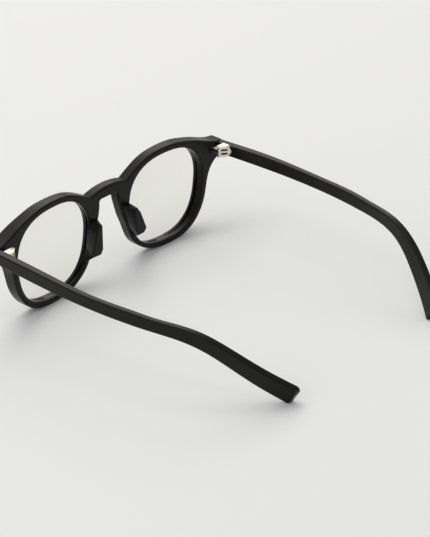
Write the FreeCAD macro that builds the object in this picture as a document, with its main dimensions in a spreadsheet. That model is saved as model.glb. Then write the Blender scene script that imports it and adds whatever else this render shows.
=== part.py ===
"""Full-rim acetate eyeglasses with two folding temples on five-barrel screw hinges.

Everything is in millimetres.  +Z is up and the glasses stand open on a table, on the
bottoms of both rims and on both temple tips.  The temples run towards +Y, the outside of
the front faces -Y, and the wearer's left is +X.

Every piece is drawn upright, with X across, Y from the outside of the front to the inside
and Z up from the bottom of the rims.  At the end the whole assembly is leaned back until
rims and temple tips stand on one floor.  The right-hand pieces mirror the left-hand ones.
"""
import FreeCAD, Part
import math
import os
from FreeCAD import Placement, Rotation, Vector

SIZES = [
    # The shape of each lens opening: a superellipse, fuller at the top than at the bottom.
    ("eye_half_width", 21.58, "half axis of the opening across"),
    ("eye_half_height", 21.03, "half axis of the opening up and down"),
    ("eye_squareness", 2.53, "2 is an ellipse, more is squarer"),
    ("eye_top_fullness", 0.128, "how much fuller the top half is"),
    ("eye_corner_lift", 0.0085, "how much the upper corners are raised"),
    ("eye_centre_out", 34.35, "from the middle of the bridge to the centre of the opening"),
    ("rim_width", 2.7, "width of the rim over and under the lens"),
    # The acetate sheet that the front is cut from.
    ("front_half_width", 69.75, "from the middle to the end of the front"),
    ("front_face_depth", 4.9, "outside face, in front of the front's own origin"),
    ("front_face_radius", 5000.0, "plan radius of the outside face"),
    ("back_face_depth", 0.3, "inside face, behind the front's own origin"),
    ("back_face_radius", 760.0, "plan radius of the inside face"),
    ("outer_rounding", 0.9, "rounding of the front's outer edges"),
    ("opening_bevel", 1.1, "bevel of the opening on the outside"),
    ("opening_rounding", 0.6, "rounding of the opening on the inside"),
    # Bridge.
    ("bridge_top", 41.9, "top of the bridge over the rim bottoms"),
    ("bridge_shoulder", 40.2, "top of the bridge where it meets the rims"),
    ("bridge_shoulder_in", 1.5, "how far the shoulder lies inside the opening's edge"),
    ("bridge_underside", 36.8, "underside of the bridge"),
    ("nose_gap_half", 5.45, "half width of the gap right under the bridge"),
    ("nose_gap_corner", 1.3, "corner radius of the gap under the bridge"),
    # End pieces.
    ("end_top", 39.1, "top of the end piece at its joint face"),
    ("end_height", 5.8, "height of the end piece at its joint face"),
    ("end_corner", 1.1, "corner radius at the very end"),
    ("joint_skew", 3.8, "width of the slanted joint face across"),
    ("joint_rise", 2.0, "how much the joint face slants"),
    ("joint_gap", 0.12, "gap between temple and end piece when open"),
    # Lenses.
    ("lens_thick", 1.8, "lens thickness"),
    ("lens_setback", 1.9, "front of the lens bevel behind the outside face"),
    ("lens_ball_radius", 265.0, "the lens is a piece of a hollow ball"),
    ("lens_play", 0.05, "gap between lens and rim"),
    ("groove_depth", 0.7, "lens groove"),
    ("groove_wide", 0.8, "lens groove"),
    # Nose pads.
    ("pad_reach", 5.9, "plane of the pads' rear faces"),
    ("pad_rounding", 0.45, "rounding of the pads' rear edges"),
    ("pad_corner", 0.7, "corner radius of the pads' outline"),
    # Temples.
    ("straight_length", 91.4, "from the joint face to the bend"),
    ("bend_length", 32.8, "length of the bend behind the ear"),
    ("ear_length", 22.4, "from the end of the bend to the tip"),
    ("temple_thick", 4.0, "thickness at the hinge"),
    ("temple_thin", 2.8, "thickness where the bend starts"),
    ("temple_tall", 5.6, "height at the hinge"),
    ("tip_thick", 3.5, "thickness at the tip"),
    ("tip_tall", 9.3, "height at the tip"),
    ("temple_drop", 0.7, "slope of the straight part, degrees"),
    ("ear_bend", 32.7, "how much the temple bends down behind the ear, degrees"),
    ("temple_splay", 0.069, "how much the temples spread at the hinges"),
    ("temple_bow", 0.000367, "how soon the temples turn inwards"),
    ("temple_curl", 0.00000859, "how much the ear ends turn inwards"),
    ("temple_rounding", 0.6, "rounding of the long edges"),
    ("tip_corner", 1.0, "lower corner radius of the tip"),
    ("tip_top_corner", 2.2, "upper corner radius of the tip"),
    ("wire_radius", 0.55, "core wire inside the temple"),
    ("wire_short", 12.0, "from the end of the core wire to the tip"),
    # Hinges.
    ("axis_inset", 6.75, "from the end of the front to the hinge axis"),
    ("axis_behind", 3.55, "from the back face to the hinge axis"),
    ("axis_up", 36.45, "middle of the hinge"),
    ("barrel_radius", 1.05, "outside of the hinge barrels"),
    ("hinge_tall", 5.0, "height of the five barrels together"),
    ("slot_tall", 0.94, "height of the two slots in the temple leaf"),
    ("middle_tall", 0.82, "height of the middle barrel"),
    ("slot_reach", 3.0, "how far the slots reach behind the axis"),
    ("slot_deep", 2.7, "how far the slots reach out from the axis"),
    ("leaf_reach", 3.95, "how far the temple leaf reaches behind the axis"),
    ("leaf_foot", 3.85, "how far the temple leaf's foot reaches out from the axis"),
    ("leaf_plate", 0.5, "thickness of the temple leaf's rear end"),
    ("leaf_end_round", 1.6, "how far the temple leaf's rear end bulges"),
    ("front_foot_wide", 3.6, "width of the front leaf's foot"),
    ("front_foot_deep", 2.2, "how deep the front leaf's foot goes"),
    ("front_foot_tall", 4.2, "height of the front leaf's foot"),
    ("front_foot_cover", 0.4, "acetate over the front leaf's foot"),
    ("axial_play", 0.04, "gap above and below each front barrel"),
    ("screw_radius", 0.5, "hinge screw"),
    ("screw_play", 0.04, "radial gap round the screw"),
    ("head_radius", 0.75, "screw head"),
    ("head_tall", 0.5, "screw head"),
    ("driver_slot_wide", 0.22, "slot in the screw head"),
    ("driver_slot_deep", 0.2, "slot in the screw head"),
]

doc = FreeCAD.newDocument("eyeglasses")
sheet = doc.addObject("Spreadsheet::Sheet", "Sizes")
for row, (alias, value, note) in enumerate(SIZES, start=1):
    sheet.set("A%d" % row, note)
    sheet.set("B%d" % row, str(value))
    sheet.setAlias("B%d" % row, alias)
doc.recompute()


def size(alias):
    return float(sheet.get(alias))


FLAT = Placement()                                               # sketch seen from above
UPRIGHT = Placement(Vector(), Rotation(Vector(1, 0, 0), 90))     # sketch Y becomes Z
ACROSS = Vector(1, 0, 0)
BACK = Vector(0, 1, 0)
UP = Vector(0, 0, 1)
SIDE_ON = Rotation(Vector(1, 1, 1), 120)                         # sketch X back, sketch Y up
CUT_LENGTH = 60.0        # long enough to pass right through the front
CUT_BELOW = 5.0          # cuts start this far below the rims


# ---------------------------------------------------------------- drawing

def smooth(points, closed=False):
    """A smooth curve through points."""
    curve = Part.BSplineCurve()
    curve.interpolate(Points=points, PeriodicFlag=closed)
    return curve


def rounded_polygon(corners, radius, inset=0.0):
    """Lines through corners with every corner rounded, all moved inwards by inset."""
    arcs = []
    for before, corner, after in zip(corners[-1:] + corners[:-1], corners, corners[1:] + corners[:1]):
        one = (before - corner).normalize()
        other = (after - corner).normalize()
        half = one.getAngle(other) / 2
        middle = (one + other).normalize()
        moved = corner + middle * (inset / math.sin(half))
        cut = (radius - inset) / math.tan(half)
        arcs.append(Part.Arc(moved + one * cut,
                             moved + middle * (radius - inset) * (1 / math.sin(half) - 1),
                             moved + other * cut))
    curves = []
    for arc, following in zip(arcs, arcs[1:] + arcs[:1]):
        curves += [arc, Part.LineSegment(arc.EndPoint, following.StartPoint)]
    return curves


def sketch(name, curves, placement=FLAT):
    """A sketch of ready curves, in the XY plane of its placement."""
    drawing = doc.addObject("Sketcher::SketchObject", name)
    drawing.Placement = placement
    drawing.addGeometry(curves, False)
    return drawing


def extrude(name, drawing, direction, length, symmetric=False):
    """A prism; length is a number or a formula on the sheet."""
    solid = doc.addObject("Part::Extrusion", name)
    solid.Base = drawing
    solid.DirMode = "Custom"
    solid.Dir = direction
    solid.Symmetric = symmetric
    solid.Solid = True
    solid.setExpression("LengthFwd", str(length))
    return solid


def primitive(kind, name, sizes, place):
    """A Part primitive whose sizes are formulas on the sheet."""
    solid = doc.addObject("Part::" + kind, name)
    for label, formula in sizes.items():
        solid.setExpression(label, formula)
    solid.Placement.Base = place
    return solid


def boolean(kind, name, base, tool):
    result = doc.addObject("Part::" + kind, name)
    result.Base = base
    result.Tool = tool
    return result


def fuse(name, shapes):
    result = doc.addObject("Part::MultiFuse", name)
    result.Shapes = shapes
    return result


def mirror(name, source):
    """The right-hand twin of a left-hand shape."""
    twin = doc.addObject("Part::Mirroring", name)
    twin.Source = source
    twin.Normal = ACROSS
    return twin


def round_edges(name, base, alias, wanted, kind="Fillet"):
    """Round or bevel those edges of a solid that a test picks."""
    doc.recompute()
    result = doc.addObject("Part::" + kind, name)
    result.Base = base
    amount = size(alias)
    result.Edges = [(number, amount, amount)
                    for number, edge in enumerate(base.Shape.Edges, start=1) if wanted(edge)]
    return result


def middle_of(edge):
    return edge.valueAt((edge.FirstParameter + edge.LastParameter) / 2)


def closed_lines(corners):
    return [Part.LineSegment(a, b) for a, b in zip(corners, corners[1:] + corners[:1])]


# ---------------------------------------------------------------- front

SPLINE_POINTS = 32       # points of the formula that an opening's smooth curve goes through
TOLERANCE = 0.02         # for telling which face an edge lies on
OPENING_TOLERANCE = 0.1  # for telling whether an edge lies on an opening
END_OUT = size("front_half_width")
JOINT_IN = END_OUT - size("joint_skew")
EYE_CENTRE_UP = size("eye_half_height") * (1 - size("eye_top_fullness")) + size("rim_width") + 0.1


def eye_radius(angle):
    """Distance from the centre of the opening to its edge, at an angle from the temple side."""
    power = size("eye_squareness")
    across = abs(math.cos(angle) / size("eye_half_width")) ** power
    up = abs(math.sin(angle) / size("eye_half_height")) ** power
    fullness = 1 + size("eye_top_fullness") * math.sin(angle)
    fullness += size("eye_corner_lift") * math.sin(3 * angle)
    return (across + up) ** (-1 / power) * fullness


def eye_point(degrees, outwards=0.0):
    """A point of the opening's edge, moved outwards square to it, as (across, up)."""
    angle = math.radians(degrees)
    step = 1e-4
    radius = eye_radius(angle)
    slope = (eye_radius(angle + step) - radius) / step
    tangent = Vector(slope * math.cos(angle) - radius * math.sin(angle),
                     slope * math.sin(angle) + radius * math.cos(angle), 0).normalize()
    across = size("eye_centre_out") + radius * math.cos(angle) + outwards * tangent.y
    up = EYE_CENTRE_UP + radius * math.sin(angle) - outwards * tangent.x
    return across, up


EYE_IN = min(eye_point(degrees)[0] for degrees in range(140, 220))


def face_depth(across, depth, radius):
    """Y of a face of the front: an arc in plan that is furthest forward in the middle."""
    return depth + radius - math.sqrt(radius ** 2 - across ** 2)


def back_face(across):
    return face_depth(across, size("back_face_depth"), size("back_face_radius"))


def outer_face(across):
    return face_depth(across, -size("front_face_depth"), size("front_face_radius"))


def front_outline():
    """The outline of the front seen face on, as curves that join end to end."""
    rim = size("rim_width")
    top = size("end_top")
    bottom = top - size("end_height")
    under = size("bridge_underside")
    corner = size("end_corner")
    brow = [(EYE_IN - size("bridge_shoulder_in"), size("bridge_shoulder"))]
    brow += [eye_point(degrees, rim + extra) for degrees, extra in
             ((126, 0.5), (114, 0.15), (100, 0), (86, 0), (72, 0.05), (60, 0.4))]
    brow += [(END_OUT - 14.3, top + 4.1), (END_OUT - 8, top + 1.6), (END_OUT - corner, top)]
    lower = [(END_OUT - corner, bottom), (END_OUT - 4.2, bottom - 1.4), (END_OUT - 8, bottom - 4.9)]
    lower += [eye_point(degrees, rim + extra) for degrees, extra in
              ((2, 0.35), (-14, 0.15), (-30, 0), (-45, 0.1), (-60, 0.15), (-75, 0), (-90, 0),
               (-105, -0.2), (-120, -0.4), (-135, -0.5), (-150, -0.2))]
    gap = size("nose_gap_half")
    gap_corner = size("nose_gap_corner")
    lower += [(EYE_IN - 2.1, under - 18.4), (EYE_IN - 4.1, under - 13.4), (gap + 1.4, under - 8.8),
              (gap + 0.4, under - 5.0), (gap, under - gap_corner)]
    halves = []
    gap_middle = gap_corner * (1 - math.sqrt(0.5))
    for side in (1, -1):
        upper_curve = smooth([Vector(side * x, z, 0) for x, z in brow])
        lower_curve = smooth([Vector(side * x, z, 0) for x, z in lower])
        diagonal = corner * (1 - math.sqrt(0.5))
        upper_arc = Part.Arc(Vector(side * (END_OUT - corner), top, 0),
                             Vector(side * (END_OUT - diagonal), top - diagonal, 0),
                             Vector(side * END_OUT, top - corner, 0))
        lower_arc = Part.Arc(Vector(side * END_OUT, bottom + corner, 0),
                             Vector(side * (END_OUT - diagonal), bottom + diagonal, 0),
                             Vector(side * (END_OUT - corner), bottom, 0))
        end = Part.LineSegment(Vector(side * END_OUT, top - corner, 0),
                               Vector(side * END_OUT, bottom + corner, 0))
        gap_arc = Part.Arc(lower_curve.EndPoint,
                           Vector(side * (gap - gap_middle), under - gap_middle, 0),
                           Vector(side * (gap - gap_corner), under, 0))
        halves += [upper_curve, upper_arc, end, lower_arc, lower_curve, gap_arc]
    shoulder = Vector(brow[0][0], brow[0][1], 0)
    crown = Part.Arc(Vector(-shoulder.x, shoulder.y, 0), Vector(0, size("bridge_top"), 0), shoulder)
    underside = Part.LineSegment(Vector(gap - gap_corner, under, 0), Vector(gap_corner - gap, under, 0))
    return halves + [crown, underside]


def joint_line(offset):
    """The slanted joint face of the left end piece in plan, moved back: its two ends."""
    inner = Vector(JOINT_IN, back_face(JOINT_IN), 0)
    outer = Vector(END_OUT, inner.y - size("joint_rise"), 0)
    along = (outer - inner).normalize()
    back = Vector(-along.y, along.x, 0)
    return inner + back * offset, outer + back * offset


def front_plan():
    """The front seen from above: two arcs, and a slanted joint face at each end."""
    inner, outer = joint_line(0)
    outer_end = Vector(END_OUT, outer_face(END_OUT), 0)

    def mirrored(point):
        return Vector(-point.x, point.y, 0)

    outside = Part.Arc(mirrored(outer_end), Vector(0, outer_face(0), 0), outer_end)
    inside = Part.Arc(inner, Vector(0, back_face(0), 0), mirrored(inner))
    return [outside, Part.LineSegment(outer_end, outer), Part.LineSegment(outer, inner), inside,
            Part.LineSegment(mirrored(inner), mirrored(outer)),
            Part.LineSegment(mirrored(outer), mirrored(outer_end))]


def on_face(point, face):
    return abs(point.y - face(point.x)) < TOLERANCE


def on_opening(point):
    """Whether a point lies on the edge of one of the two openings."""
    across = abs(point.x) - size("eye_centre_out")
    up = point.z - EYE_CENTRE_UP
    return abs(math.hypot(across, up) - eye_radius(math.atan2(up, across))) < OPENING_TOLERANCE


def outline_edge(edge):
    """Whether an edge is one of the front's outer edges, the joint faces' edges excepted."""
    point = middle_of(edge)
    on_back = on_face(point, back_face) and abs(point.x) < JOINT_IN - TOLERANCE
    return on_back or on_face(point, outer_face)


def eye_prism(name, outwards):
    """A straight bar with the section of the left opening, moved outwards."""
    points = []
    for k in range(SPLINE_POINTS):
        across, up = eye_point(360.0 * k / SPLINE_POINTS, outwards)
        points.append(Vector(across, up, 0))
    drawing = sketch(name + "_outline", [smooth(points, closed=True)], UPRIGHT)
    return extrude(name, drawing, BACK, CUT_LENGTH, symmetric=True)


def ball_shell(name, behind, thick, outwards):
    """A piece of a hollow ball with the section of the left opening: a lens or its groove.

    behind and thick are formulas on the sheet; behind is measured from the outside face."""
    centre = Vector(size("eye_centre_out"), 0, EYE_CENTRE_UP)
    balls = []
    for part, less in (("outer", "0"), ("inner", thick)):
        ball = primitive("Sphere", "%s_%s_ball" % (name, part),
                         {"Radius": "Sizes.lens_ball_radius - (%s)" % less}, centre)
        ball.setExpression("Placement.Base.y",
                           "Sizes.lens_ball_radius + (%s) - Sizes.front_face_depth" % behind)
        balls.append(ball)
    lump = boolean("Common", name + "_lump", eye_prism(name + "_bar", outwards), balls[0])
    return boolean("Cut", name, lump, balls[1])


blank_plan = sketch("front_plan", front_plan(), Placement(-CUT_BELOW * UP, Rotation()))
blank = extrude("front_blank", blank_plan, UP, CUT_LENGTH)
outline_bar = extrude("front_outline_bar", sketch("front_outline", front_outline(), UPRIGHT),
                      BACK, CUT_LENGTH, symmetric=True)
profile = boolean("Common", "front_profile", blank, outline_bar)
rounded = round_edges("front_rounded", profile, "outer_rounding", outline_edge)
opening = eye_prism("opening_left", 0)
openings = fuse("openings", [opening, mirror("opening_right", opening)])
pierced = boolean("Cut", "front_pierced", rounded, openings)
bevelled = round_edges("front_bevelled", pierced, "opening_bevel",
                       lambda edge: on_opening(middle_of(edge)) and on_face(middle_of(edge), outer_face),
                       kind="Chamfer")
eased = round_edges("front_eased", bevelled, "opening_rounding",
                    lambda edge: on_opening(middle_of(edge)) and on_face(middle_of(edge), back_face))

# ---------------------------------------------------------------- lenses

BEVEL_BEHIND = "Sizes.lens_setback + Sizes.lens_play"
BEVEL_THICK = "Sizes.groove_wide - 2 * Sizes.lens_play"
LENS_BEHIND = "Sizes.lens_setback - (Sizes.lens_thick - Sizes.groove_wide) / 2"


def lens(name):
    """A lens plate with the raised bevel round its edge that sits in the rim's groove."""
    play = size("lens_play")
    plate = ball_shell(name + "_plate", LENS_BEHIND, "Sizes.lens_thick", -play)
    bevel = ball_shell(name + "_bevel", BEVEL_BEHIND, BEVEL_THICK, size("groove_depth") - play)
    return fuse(name, [plate, bevel])


# ---------------------------------------------------------------- nose pads

PAD_START = -0.5         # the pads are drawn from this plane, then cut back to the rim


def nose_pad(name, rim):
    """A block that leans out over the lens, seated on the back of the rim."""
    nose = EYE_IN
    foot = [(nose - 5.2, 29.2), (nose - 1.2, 29.8), (nose + 0.7, 26.5), (nose + 2.0, 17.5),
            (nose + 6.6, 10.0), (nose + 2.3, 11.2), (nose - 0.8, 17.0)]
    rear = [(nose - 2.35, 28.9), (nose - 0.8, 28.6), (nose + 1.2, 25.6), (nose + 4.4, 17.0),
            (nose + 3.0, 15.1), (nose - 0.8, 14.9), (nose - 2.15, 17.0)]
    reach = size("pad_reach")
    soft = size("pad_rounding")
    levels = [(foot, PAD_START, 0), (rear, reach - soft, 0), (rear, reach - soft * 0.3, soft * 0.3),
              (rear, reach, soft)]
    rings = []
    for number, (corners, plane, inset) in enumerate(levels):
        curves = rounded_polygon([Vector(x, z, 0) for x, z in corners], size("pad_corner"), inset)
        rings.append(sketch("%s_ring%d" % (name, number), curves,
                            Placement(BACK * plane, UPRIGHT.Rotation)))
    block = doc.addObject("Part::Loft", name + "_block")
    block.Sections = rings
    block.Solid = True
    block.Ruled = True
    return boolean("Cut", name, block, rim)


# ---------------------------------------------------------------- hinges

AXIS_OUT = END_OUT - size("axis_inset")
AXIS = Vector(AXIS_OUT, back_face(AXIS_OUT) + size("axis_behind"), size("axis_up"))
LAYER = (size("slot_tall") + size("middle_tall")) / 2        # middle of a slot over the hinge's
HALF_HINGE = size("hinge_tall") / 2
BARREL = size("barrel_radius")
CLEAR_OF_BARREL = 3 * BARREL


def leaf_plan():
    """The temple leaf from above: a barrel, a straight front, a foot and a slanted back."""
    foot = size("leaf_foot")
    reach = size("leaf_reach")
    corner = Vector(foot - size("leaf_plate"), reach, 0)
    angle = math.atan2(corner.y, corner.x) + math.acos(BARREL / corner.Length)
    touch = Vector(math.cos(angle), math.sin(angle), 0) * BARREL
    start = Vector(0, -BARREL, 0)
    corners = [start, Vector(foot, -BARREL, 0), Vector(foot, reach, 0), corner, touch]
    lines = [Part.LineSegment(a, b) for a, b in zip(corners, corners[1:])]
    return lines + [Part.Arc(touch, Vector(-BARREL, 0, 0), start)]


def leaf_side_view():
    """The temple leaf from the side: straight, with a bulging rear end."""
    front = -CLEAR_OF_BARREL
    rear = size("leaf_reach")
    corner = rear - size("leaf_end_round")
    bulge = Part.Arc(Vector(corner, -HALF_HINGE, 0), Vector(rear, 0, 0),
                     Vector(corner, HALF_HINGE, 0))
    lower = Part.LineSegment(Vector(front, -HALF_HINGE, 0), bulge.StartPoint)
    upper = Part.LineSegment(bulge.EndPoint, Vector(front, HALF_HINGE, 0))
    return [lower, bulge, upper, Part.LineSegment(upper.EndPoint, lower.StartPoint)]


def leaf_block(name):
    """The temple leaf before its slots and holes, which is also its pocket in the temple."""
    plan = sketch(name + "_plan", leaf_plan(), Placement(AXIS - UP * HALF_HINGE, Rotation()))
    side_place = Placement(AXIS - ACROSS * size("leaf_foot"), SIDE_ON)
    side_view = sketch(name + "_side_view", leaf_side_view(), side_place)
    return boolean("Common", name + "_block", extrude(name + "_tall", plan, UP, "Sizes.hinge_tall"),
                   extrude(name + "_bar", side_view, ACROSS, "Sizes.leaf_foot * 3"))


def temple_leaf(name, block):
    """Three blades on one plate, whose foot is set in the inside of the temple."""
    cutters = []
    for level in (1, -1):
        corner = AXIS + Vector(-CLEAR_OF_BARREL, -CLEAR_OF_BARREL,
                               level * LAYER - size("slot_tall") / 2)
        cutters.append(primitive("Box", "%s_slot%d" % (name, len(cutters)),
                                 {"Length": "Sizes.barrel_radius * 3 + Sizes.slot_deep",
                                  "Width": "Sizes.barrel_radius * 3 + Sizes.slot_reach",
                                  "Height": "Sizes.slot_tall"}, corner))
    cutters.append(primitive("Cylinder", name + "_thread",
                             {"Radius": "Sizes.screw_radius", "Height": "Sizes.hinge_tall"},
                             AXIS - UP * HALF_HINGE))
    cutters.append(primitive("Cylinder", name + "_clear_hole",
                             {"Radius": "Sizes.screw_radius + Sizes.screw_play",
                              "Height": "Sizes.hinge_tall"}, AXIS - UP * LAYER))
    cutters.append(primitive("Cylinder", name + "_head_seat",
                             {"Radius": "Sizes.head_radius + Sizes.screw_play",
                              "Height": "Sizes.head_tall"}, AXIS + UP * (HALF_HINGE - size("head_tall"))))
    return boolean("Cut", name, block, fuse(name + "_cutters", cutters))


def front_leaf_block(name):
    """The front leaf before its bore: two tongues with barrels, on a foot."""
    tall = "Sizes.slot_tall - 2 * Sizes.axial_play"
    shapes = []
    for level in (1, -1):
        low = AXIS + UP * (level * LAYER - size("slot_tall") / 2 + size("axial_play"))
        shapes.append(primitive("Cylinder", "%s_barrel%d" % (name, len(shapes)),
                                {"Radius": "Sizes.barrel_radius", "Height": tall}, low))
        tongue = low - ACROSS * BARREL - BACK * (size("axis_behind") + size("front_foot_cover"))
        shapes.append(primitive("Box", "%s_tongue%d" % (name, len(shapes)),
                                {"Length": "Sizes.barrel_radius * 2", "Height": tall,
                                 "Width": "Sizes.axis_behind + Sizes.front_foot_cover"}, tongue))
    depth = size("axis_behind") + size("front_foot_cover") + size("front_foot_deep")
    corner = AXIS - Vector(size("front_foot_wide") / 2, depth, size("front_foot_tall") / 2)
    shapes.append(primitive("Box", name + "_foot",
                            {"Length": "Sizes.front_foot_wide", "Width": "Sizes.front_foot_deep",
                             "Height": "Sizes.front_foot_tall"}, corner))
    return fuse(name + "_block", shapes)


def front_leaf(name, block):
    bore = primitive("Cylinder", name + "_bore", {"Radius": "Sizes.screw_radius + Sizes.screw_play",
                                                  "Height": "Sizes.hinge_tall"},
                     AXIS - UP * HALF_HINGE)
    return boolean("Cut", name, block, bore)


def screw(name):
    """A slotted screw: its head is sunk in the top barrel, its end fills the bottom one."""
    shank = primitive("Cylinder", name + "_shank",
                      {"Radius": "Sizes.screw_radius",
                       "Height": "Sizes.hinge_tall - Sizes.head_tall / 2"}, AXIS - UP * HALF_HINGE)
    head = primitive("Cylinder", name + "_head",
                     {"Radius": "Sizes.head_radius", "Height": "Sizes.head_tall"},
                     AXIS + UP * (HALF_HINGE - size("head_tall")))
    wide = size("driver_slot_wide")
    corner = Vector(-size("head_radius") * 2, -wide / 2, HALF_HINGE - size("driver_slot_deep"))
    slot = primitive("Box", name + "_slot", {"Length": "Sizes.head_radius * 4",
                                             "Width": "Sizes.driver_slot_wide",
                                             "Height": "Sizes.driver_slot_deep"}, AXIS + corner)
    return boolean("Cut", name, fuse(name + "_solid", [shank, head]), slot)


# ---------------------------------------------------------------- temples

STEP = 0.5               # step for adding up the temple's route
NEARLY_ONE = 0.9         # for telling which edges run across
OVERRUN = 8.0            # the temple is drawn this far past the joint, then cut back
TEMPLE_END = size("straight_length") + size("bend_length") + size("ear_length")
STATIONS = [-OVERRUN, 15, 40, 65, 84, 95, 103, 111, 119, 128, 137]    # sections along it


def temple_slope(along):
    """How steeply the temple runs down, in radians, at a distance along it."""
    share = min(max((along - size("straight_length")) / size("bend_length"), 0), 1)
    return math.radians(size("temple_drop") + size("ear_bend") * share ** 2 * (3 - 2 * share))


def temple_place(along):
    """Y and Z of the middle of the temple's side view."""
    steps = max(1, round(abs(along) / STEP))
    step = along / steps
    back = back_face(JOINT_IN)
    up = size("end_top") - size("temple_tall") / 2
    for number in range(steps):
        slope = temple_slope((number + 0.5) * step)
        back += step * math.cos(slope)
        up -= step * math.sin(slope)
    return back, up


def temple_outside(along):
    """X of the temple's outer face."""
    splay = size("temple_splay") * along
    return END_OUT + splay - size("temple_bow") * along ** 2 - size("temple_curl") * along ** 3


def temple_thickness(along):
    straight = size("straight_length")
    thin = size("temple_thin")
    if along < straight:
        return thin + (size("temple_thick") - thin) * (1 - along / straight) ** 2
    return thin + (size("tip_thick") - thin) * (along - straight) / (TEMPLE_END - straight)


def temple_height(along):
    straight = size("straight_length")
    extra = size("tip_tall") - size("temple_tall")
    return size("temple_tall") + extra * max(0, along - straight) / (TEMPLE_END - straight)


def temple_section(name, along):
    """A rectangle square to the temple's side view."""
    back, up = temple_place(along)
    tilt = Rotation(ACROSS, 90 - math.degrees(temple_slope(along)))
    outside = temple_outside(along)
    inside = outside - temple_thickness(along)
    half = temple_height(along) / 2
    corners = [Vector(inside, -half, 0), Vector(outside, -half, 0),
               Vector(outside, half, 0), Vector(inside, half, 0)]
    return sketch(name, closed_lines(corners), Placement(Vector(0, back, up), tilt))


def temple_blank(name):
    """The temple with its edges rounded, before it is cut back to the joint."""
    strip = doc.addObject("Part::Loft", name + "_strip")
    strip.Sections = [temple_section("%s_section%d" % (name, number), along)
                      for number, along in enumerate(STATIONS + [TEMPLE_END])]
    strip.Solid = True
    back, up = temple_place(TEMPLE_END)
    tip_middle = Vector(temple_outside(TEMPLE_END) - size("tip_thick") / 2, back, up)

    def runs_across(edge):
        return abs(edge.tangentAt(edge.FirstParameter).x) > NEARLY_ONE

    def tip_edge(edge):
        return runs_across(edge) and middle_of(edge).distanceToPoint(tip_middle) < size("tip_tall")

    def long_edge(edge):
        return not runs_across(edge) and middle_of(edge).y > back_face(JOINT_IN) - OVERRUN / 2

    lower = round_edges(name + "_lower_corner", strip, "tip_corner",
                        lambda edge: tip_edge(edge) and middle_of(edge).z < up)
    cornered = round_edges(name + "_corners", lower, "tip_top_corner",
                           lambda edge: tip_edge(edge) and middle_of(edge).z > up)
    return round_edges(name + "_rounded", cornered, "temple_rounding", long_edge)


def joint_trim(name):
    """All that lies in front of the temple's slanted joint face."""
    inner, outer = joint_line(size("joint_gap"))
    beyond = (outer - inner) * 3
    corners = [inner - beyond, outer + beyond, outer + beyond - BACK * CUT_LENGTH,
               inner - beyond - BACK * CUT_LENGTH]
    drawing = sketch(name + "_plan", closed_lines(corners), Placement(-CUT_BELOW * UP, Rotation()))
    return extrude(name, drawing, UP, CUT_LENGTH)


def wire_bar(name):
    """The core wire along the middle of the temple, before it is cut back to the joint."""
    wire_end = TEMPLE_END - size("wire_short")
    rings = []
    for along in [station for station in STATIONS if station < wire_end] + [wire_end]:
        back, up = temple_place(along)
        ring = doc.addObject("Part::Circle", "%s_ring%d" % (name, len(rings)))
        ring.setExpression("Radius", "Sizes.wire_radius")
        middle = Vector(temple_outside(along) - temple_thickness(along) / 2, back, up)
        ring.Placement = Placement(middle, Rotation(ACROSS, 90 - math.degrees(temple_slope(along))))
        rings.append(ring)
    bar = doc.addObject("Part::Loft", name + "_bar")
    bar.Sections = rings
    bar.Solid = True
    return bar


# ---------------------------------------------------------------- putting it together

trim = joint_trim("joint_trim")
groove = ball_shell("groove_left", "Sizes.lens_setback", "Sizes.groove_wide", size("groove_depth"))
front_block = front_leaf_block("front_hinge_leaf_left")
temple_leaf_block = leaf_block("temple_hinge_leaf_left")
wire = wire_bar("core_wire_left")

front_cuts = fuse("front_cuts", [groove, mirror("groove_right", groove),
                                 front_block, mirror("front_hinge_socket_right", front_block)])
front_frame = boolean("Cut", "front_frame", eased, front_cuts)
temple_cuts = fuse("temple_cuts", [trim, temple_leaf_block, wire])
left_pieces = {
    "nose_pad_left": nose_pad("nose_pad_left", eased),
    "lens_left": lens("lens_left"),
    "front_hinge_leaf_left": front_leaf("front_hinge_leaf_left", front_block),
    "temple_left": boolean("Cut", "temple_left", temple_blank("temple_left"), temple_cuts),
    "temple_hinge_leaf_left": temple_leaf("temple_hinge_leaf_left", temple_leaf_block),
    "hinge_screw_left": screw("hinge_screw_left"),
    "core_wire_left": boolean("Cut", "core_wire_left", wire, trim),
}
doc.recompute()


def skin_points(shape):
    return shape.tessellate(0.02)[0]


def lowest(points, lean):
    """Z of the lowest point once the assembly is leaned back by an angle in degrees."""
    angle = math.radians(lean)
    return min(point.z * math.cos(angle) - point.y * math.sin(angle) for point in points)


def resting_lean(front_points, temple_points):
    """The lean at which the rims and the temple tips stand on one floor."""
    small, large = 0.0, 20.0
    while large - small > 1e-5:
        lean = (small + large) / 2
        if lowest(temple_points, lean) > lowest(front_points, lean):
            small = lean
        else:
            large = lean
    return small


LEAN = resting_lean(skin_points(front_frame.Shape), skin_points(left_pieces["temple_left"].Shape))
leaned = Placement(Vector(), Rotation(ACROSS, -LEAN))
pieces = {"front_frame": front_frame, **left_pieces}
for label, piece in pieces.items():
    piece.Label = label
    piece.Placement = leaned
doc.recompute()

points = [point for piece in pieces.values() for point in skin_points(piece.Shape)]
reach = [point.y for point in points]
shift = Vector(0, -(min(reach) + max(reach)) / 2, -min(point.z for point in points))
for piece in pieces.values():
    piece.Placement = Placement(shift, leaned.Rotation)
for label in left_pieces:
    twin = label.replace("_left", "_right")
    pieces[twin] = mirror(twin, left_pieces[label])
    pieces[twin].Label = twin
doc.recompute()

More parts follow.
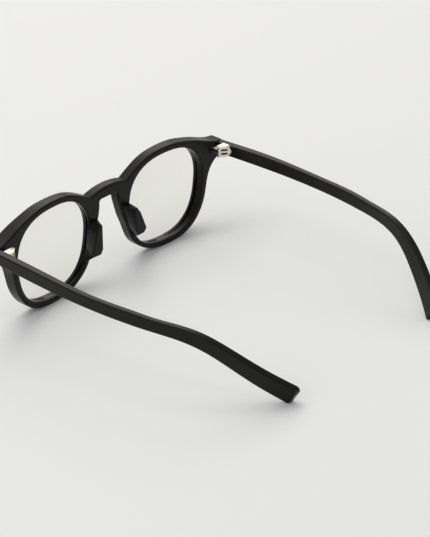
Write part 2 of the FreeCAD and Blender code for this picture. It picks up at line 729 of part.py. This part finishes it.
for item in doc.Objects:
    if "Invalid" in item.State or "Error" in item.State:
        raise RuntimeError("%s is %s" % (item.Name, item.State))
os.makedirs("parts", exist_ok=True)
for label, piece in pieces.items():
    if piece.Shape.isNull() or not piece.Shape.isValid() or len(piece.Shape.Solids) != 1:
        raise RuntimeError(label + " is not one sound solid")
    piece.Shape.exportStep("parts/%s.step" % label)
axis_place = Placement(shift, leaned.Rotation)
print("lean %.3f" % LEAN)
print("left hinge axis through %s along %s" % (axis_place.multVec(AXIS), leaned.Rotation.multVec(UP)))
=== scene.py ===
"""Black acetate eyeglasses on a pale table, lit like a studio product shot.

Everything is in metres, in the frame of the CAD model: +Z up, the temples run towards +Y.
"""
import math

import bpy
from mathutils import Matrix, Vector

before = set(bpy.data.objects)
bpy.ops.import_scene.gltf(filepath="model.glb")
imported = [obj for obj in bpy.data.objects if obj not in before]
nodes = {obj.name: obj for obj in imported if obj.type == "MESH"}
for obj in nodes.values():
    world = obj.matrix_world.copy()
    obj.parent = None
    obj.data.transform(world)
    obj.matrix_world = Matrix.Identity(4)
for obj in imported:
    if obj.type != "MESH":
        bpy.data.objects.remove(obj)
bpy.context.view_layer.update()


# ---------------------------------------------------------------- materials

def new_material(name, **values):
    """A Principled material; values are socket names in lower case with underscores."""
    material = bpy.data.materials.new(name)
    material.use_nodes = True
    shader = material.node_tree.nodes["Principled BSDF"]
    for label, value in values.items():
        shader.inputs[label.replace("_", " ").title().replace("Ior", "IOR")].default_value = value
    return material, material.node_tree, shader


def noise(tree, scale, detail=3.0, stretch=(1.0, 1.0, 1.0)):
    """A noise texture in object coordinates, stretched along the axes."""
    place = tree.nodes.new("ShaderNodeTexCoord")
    mapping = tree.nodes.new("ShaderNodeMapping")
    mapping.inputs["Scale"].default_value = stretch
    texture = tree.nodes.new("ShaderNodeTexNoise")
    texture.inputs["Scale"].default_value = scale
    texture.inputs["Detail"].default_value = detail
    tree.links.new(place.outputs["Object"], mapping.inputs["Vector"])
    tree.links.new(mapping.outputs["Vector"], texture.inputs["Vector"])
    return texture.outputs["Fac"]


def vary(tree, factor, low, high, socket):
    """Lets a texture move a socket between two values."""
    spread = tree.nodes.new("ShaderNodeMapRange")
    spread.inputs["To Min"].default_value = low
    spread.inputs["To Max"].default_value = high
    tree.links.new(factor, spread.inputs["Value"])
    tree.links.new(spread.outputs["Result"], socket)


def bump(tree, shader, factor, strength, distance):
    relief = tree.nodes.new("ShaderNodeBump")
    relief.inputs["Strength"].default_value = strength
    relief.inputs["Distance"].default_value = distance
    tree.links.new(factor, relief.inputs["Height"])
    tree.links.new(relief.outputs["Normal"], shader.inputs["Normal"])


def acetate():
    """Polished black acetate, very slightly uneven from hand polishing."""
    material, tree, shader = new_material(
        "black_acetate", base_color=(0.0045, 0.0040, 0.0036, 1), roughness=0.3, ior=1.27)
    vary(tree, noise(tree, 260, detail=4), 0.26, 0.36, shader.inputs["Roughness"])
    bump(tree, shader, noise(tree, 90), 0.06, 0.0006)
    return material


def clear_lens():
    """A thin clear lens with a faint warm tint: it hardly bends the light, but it reflects."""
    material, tree, shader = new_material(
        "clear_lens", base_color=(0.02, 0.02, 0.017, 1), ior=1.5)
    vary(tree, noise(tree, 40), 0.01, 0.03, shader.inputs["Roughness"])
    clear = tree.nodes.new("ShaderNodeBsdfTransparent")
    clear.inputs["Color"].default_value = (0.985, 0.985, 0.965, 1)
    facing = tree.nodes.new("ShaderNodeLayerWeight")
    facing.inputs["Blend"].default_value = 0.12
    mix = tree.nodes.new("ShaderNodeMixShader")
    tree.links.new(facing.outputs["Fresnel"], mix.inputs["Fac"])
    tree.links.new(clear.outputs["BSDF"], mix.inputs[1])
    tree.links.new(shader.outputs["BSDF"], mix.inputs[2])
    tree.links.new(mix.outputs["Shader"], tree.nodes["Material Output"].inputs["Surface"])
    return material


def hinge_metal():
    """Champagne plated metal with a fine brushed grain."""
    material, tree, shader = new_material(
        "hinge_metal", base_color=(0.74, 0.69, 0.58, 1), roughness=0.34, metallic=1.0)
    grain = noise(tree, 900, detail=2, stretch=(1, 0.15, 1))
    vary(tree, grain, 0.26, 0.42, shader.inputs["Roughness"])
    bump(tree, shader, grain, 0.12, 0.00004)
    return material


def screw_metal():
    material, tree, shader = new_material(
        "screw_metal", base_color=(0.52, 0.47, 0.38, 1), roughness=0.4, metallic=1.0)
    vary(tree, noise(tree, 1500), 0.3, 0.5, shader.inputs["Roughness"])
    return material


def wire_metal():
    material, tree, shader = new_material(
        "wire_metal", base_color=(0.5, 0.5, 0.5, 1), roughness=0.35, metallic=1.0)
    vary(tree, noise(tree, 700, stretch=(1, 0.1, 1)), 0.28, 0.42, shader.inputs["Roughness"])
    return material


def table_top():
    """Matte off-white paper."""
    material, tree, shader = new_material(
        "pale_table", base_color=(0.88, 0.885, 0.89, 1), roughness=0.9)
    bump(tree, shader, noise(tree, 320, detail=5), 0.05, 0.0004)
    return material


def paint(names, material):
    for name in names:
        for slot in nodes[name].material_slots:
            slot.link = "OBJECT"
            slot.material = material


def both(name):
    return [name + "_left", name + "_right"]


paint(["front_frame"] + both("nose_pad") + both("temple"), acetate())
paint(both("lens"), clear_lens())
paint(both("front_hinge_leaf") + both("temple_hinge_leaf"), hinge_metal())
paint(both("hinge_screw"), screw_metal())
paint(both("core_wire"), wire_metal())


# ---------------------------------------------------------------- table, light, camera

FLOOR_HALF = 3.0


def floor():
    """A square sheet whose edges lie far outside the view."""
    half = FLOOR_HALF
    mesh = bpy.data.meshes.new("table_top")
    corners = [(-half, -half, 0), (half, -half, 0), (half, half, 0), (-half, half, 0)]
    mesh.from_pydata(corners, [], [(0, 1, 2, 3)])
    mesh.materials.append(table_top())
    surface = bpy.data.objects.new("table_top", mesh)
    bpy.context.collection.objects.link(surface)


# Name, place, the point it faces, width and height in metres, power in watts, colour.
LIGHTS = [
    ("overhead", (0.1, -0.5, 1.5), (0, 0, 0), 1.6, 1.2, 8.6, (1.0, 0.98, 0.95)),
    ("from_behind", (-0.9, -0.9, 0.9), (0, -0.02, 0.03), 0.9, 0.7, 3.6, (1.0, 0.97, 0.93)),
    ("fill", (1.3, 0.2, 0.9), (0, 0, 0), 1.0, 1.0, 2.4, (1, 1, 1)),
]
SKY_STRENGTH = 0.53


def area_light(name, place, aim, width, height, power, color):
    data = bpy.data.lights.new(name, "AREA")
    data.shape = "RECTANGLE"
    data.size = width
    data.size_y = height
    data.energy = power
    data.color = color
    lamp = bpy.data.objects.new(name, data)
    lamp.location = place
    lamp.rotation_euler = (Vector(aim) - Vector(place)).to_track_quat("-Z", "Y").to_euler()
    bpy.context.collection.objects.link(lamp)


def sky(strength):
    """Even white light from all round."""
    world = bpy.data.worlds.new("studio")
    bpy.context.scene.world = world
    world.use_nodes = True
    background = world.node_tree.nodes["Background"]
    background.inputs["Color"].default_value = (1, 1, 1, 1)
    background.inputs["Strength"].default_value = strength


# Where the camera stands, and how far its sight line is turned and rolled, in degrees.
CAMERA_PLACE = (0.73582, 0.72367, 0.51973)
CAMERA_AZIMUTH = 134.83
CAMERA_ELEVATION = 25.766
CAMERA_ROLL = -4.60
CAMERA_LENS = 231.27
SENSOR_WIDTH = 36.0
CAMERA_REACH = 20.0


def camera():
    azimuth = math.radians(CAMERA_AZIMUTH)
    elevation = math.radians(CAMERA_ELEVATION)
    roll = math.radians(CAMERA_ROLL)
    back = Vector((math.sin(azimuth) * math.cos(elevation),
                   -math.cos(azimuth) * math.cos(elevation), math.sin(elevation)))
    right = Vector((0, 0, 1)).cross(back).normalized()
    up = back.cross(right)
    rolled_right = right * math.cos(roll) + up * math.sin(roll)
    rolled_up = up * math.cos(roll) - right * math.sin(roll)
    data = bpy.data.cameras.new("camera")
    data.sensor_fit = "HORIZONTAL"
    data.sensor_width = SENSOR_WIDTH
    data.lens = CAMERA_LENS
    data.clip_end = CAMERA_REACH
    eye = bpy.data.objects.new("camera", data)
    turned = Matrix((rolled_right, rolled_up, back)).transposed().to_4x4()
    eye.matrix_world = Matrix.Translation(CAMERA_PLACE) @ turned
    bpy.context.collection.objects.link(eye)
    bpy.context.scene.camera = eye


floor()
for light in LIGHTS:
    area_light(*light)
sky(SKY_STRENGTH)
camera()
bpy.context.scene.view_settings.view_transform = "Standard"
